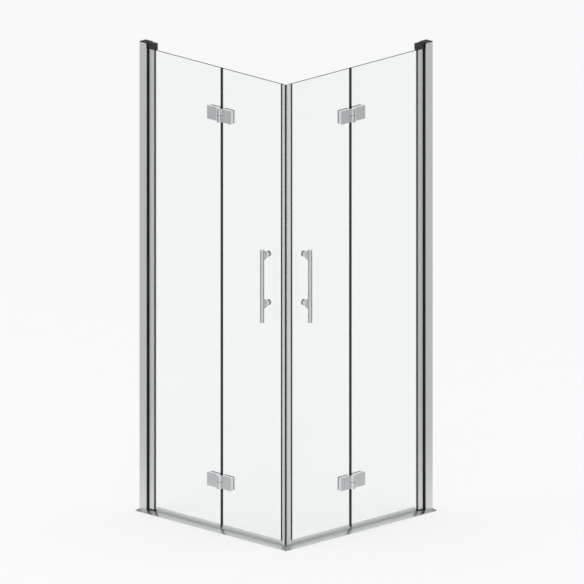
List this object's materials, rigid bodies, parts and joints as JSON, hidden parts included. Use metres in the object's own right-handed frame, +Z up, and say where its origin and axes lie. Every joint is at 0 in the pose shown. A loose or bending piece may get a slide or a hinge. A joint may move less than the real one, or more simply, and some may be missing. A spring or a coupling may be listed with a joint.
{
  "type": "bifold shower door",
  "caption": "Square corner shower entry: mirrored glass doors that pivot on wall profiles, fold outward at clamp hinges and meet at a corner seal over a low threshold.",
  "frame": {"origin": "centre of the bounding box in plan, at the underside of the threshold", "axes": "+Z up. The left door stands along X with its outside facing -Y and its wall profile at -X. The right door stands along Y with its outside facing +X and its wall profile at +Y. The doors meet at the corner towards +X and -Y."},
  "size_m": [0.8454, 0.8454, 1.92],
  "materials": {
    "profile": "bright silver anodised extrusion, fine lines along its length",
    "inner_profile": "satin anodised extrusion",
    "chrome": "polished chrome plate",
    "steel": "stainless steel",
    "moulding": "black moulded plastic, fine grain",
    "bush": "natural acetal",
    "dark_seal": "black soft seal",
    "gasket": "dark grey gasket",
    "clear_seal": "milky clear flexible PVC",
    "glass": "clear toughened safety glass, ground edges with a green tint"
  },
  "bodies": {
    "frame": {"wall_profile_caps": "moulding", "adjusting_screws": "steel", "pivot_pins": "steel", "threshold_corner": "moulding", "left_wall_profile": "profile", "left_adjusting_profile": "inner_profile", "left_pivot_seal": "dark_seal", "left_top_bearing": "moulding", "left_bottom_bearing": "moulding", "left_threshold": "profile", "right_wall_profile": "profile", "right_adjusting_profile": "inner_profile", "right_pivot_seal": "dark_seal", "right_top_bearing": "moulding", "right_bottom_bearing": "moulding", "right_threshold": "profile"},
    "left_wall_leaf": {"left_pivot_profile": "profile", "left_pivot_bushes": "bush", "left_glazing_gasket": "gasket", "left_wall_glass": "glass", "left_fold_seal": "dark_seal", "left_wall_drip_seal": "clear_seal", "left_wall_hinge_leaves": "chrome", "left_wall_hinge_clamps": "chrome", "left_wall_hinge_gaskets": "gasket", "left_wall_hinge_screws": "steel", "left_hinge_pins": "steel"},
    "left_door_leaf": {"left_door_glass": "glass", "left_door_hinge_leaves": "chrome", "left_door_hinge_clamps": "chrome", "left_door_hinge_gaskets": "gasket", "left_door_hinge_screws": "steel", "left_hinge_washers": "moulding", "left_door_drip_seal": "clear_seal", "left_corner_seal": "clear_seal", "left_handle_bar": "chrome", "left_handle_posts": "chrome", "left_handle_fixings": "chrome"},
    "right_wall_leaf": {"right_pivot_profile": "profile", "right_pivot_bushes": "bush", "right_glazing_gasket": "gasket", "right_wall_glass": "glass", "right_fold_seal": "dark_seal", "right_wall_drip_seal": "clear_seal", "right_wall_hinge_leaves": "chrome", "right_wall_hinge_clamps": "chrome", "right_wall_hinge_gaskets": "gasket", "right_wall_hinge_screws": "steel", "right_hinge_pins": "steel"},
    "right_door_leaf": {"right_door_glass": "glass", "right_door_hinge_leaves": "chrome", "right_door_hinge_clamps": "chrome", "right_door_hinge_gaskets": "gasket", "right_door_hinge_screws": "steel", "right_hinge_washers": "moulding", "right_door_drip_seal": "clear_seal", "right_corner_seal": "clear_seal", "right_handle_bar": "chrome", "right_handle_posts": "chrome", "right_handle_fixings": "chrome"}
  },
  "joints": [
    {"name": "left_swing", "type": "hinge", "parent": "frame", "child": "left_wall_leaf", "pos_m": [-0.37475, -0.37725, 0.96], "axis": [0, 0, 1], "range_deg": [-90, 90]},
    {"name": "left_fold", "type": "hinge", "parent": "left_wall_leaf", "child": "left_door_leaf", "pos_m": [0.02225, -0.39525, 0.96], "axis": [0, 0, -1], "range_deg": [0, 170]},
    {"name": "right_swing", "type": "hinge", "parent": "frame", "child": "right_wall_leaf", "pos_m": [0.37725, 0.37475, 0.96], "axis": [0, 0, -1], "range_deg": [-90, 90]},
    {"name": "right_fold", "type": "hinge", "parent": "right_wall_leaf", "child": "right_door_leaf", "pos_m": [0.39525, -0.02225, 0.96], "axis": [0, 0, 1], "range_deg": [0, 170]}
  ]
}
